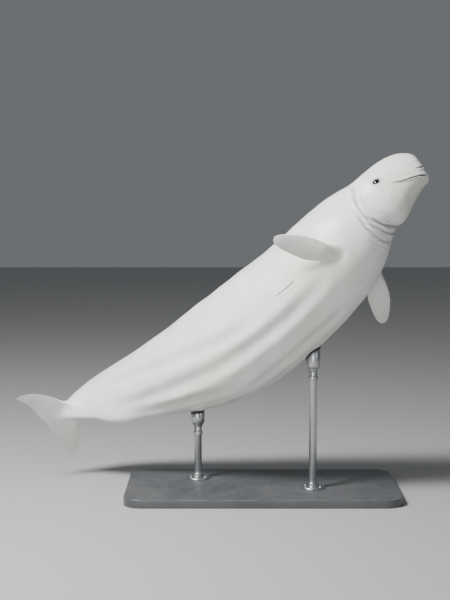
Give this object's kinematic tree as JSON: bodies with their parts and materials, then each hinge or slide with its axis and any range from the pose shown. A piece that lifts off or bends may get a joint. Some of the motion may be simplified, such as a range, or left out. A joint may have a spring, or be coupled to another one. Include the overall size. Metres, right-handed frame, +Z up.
{
  "type": "beluga whale on a display stand",
  "caption": "Life-size still model of an adult white beluga whale, climbing and banked to show its belly, held on a flat display stand by upright rods.",
  "frame": {"origin": "middle of the flat underside of the stand's base", "axes": "+X the way the whale heads, +Z up, its right side towards -Y"},
  "size_m": [3.4926, 1.5294, 2.8807],
  "materials": {
    "skin": "smooth, slightly waxy white whale skin with faint cream and grey mottling",
    "eye": "wet, glossy dark brown eyeball",
    "stand_board": "board painted in satin dark grey",
    "stand_steel": "brushed steel tube"
  },
  "bodies": {
    "root": {"head": "skin", "neck": "skin", "chest": "skin", "belly": "skin", "tail_stock": "skin", "fluke_left": "skin", "fluke_right": "skin", "flipper_left": "skin", "flipper_right": "skin", "eye_left": "eye", "eye_right": "eye", "stand_base": "stand_board", "stand_foot_front": "stand_steel", "stand_foot_rear": "stand_steel", "stand_rod_front": "stand_steel", "stand_rod_rear": "stand_steel", "stand_cup_front": "stand_steel", "stand_cup_rear": "stand_steel"}
  },
  "joints": []
}
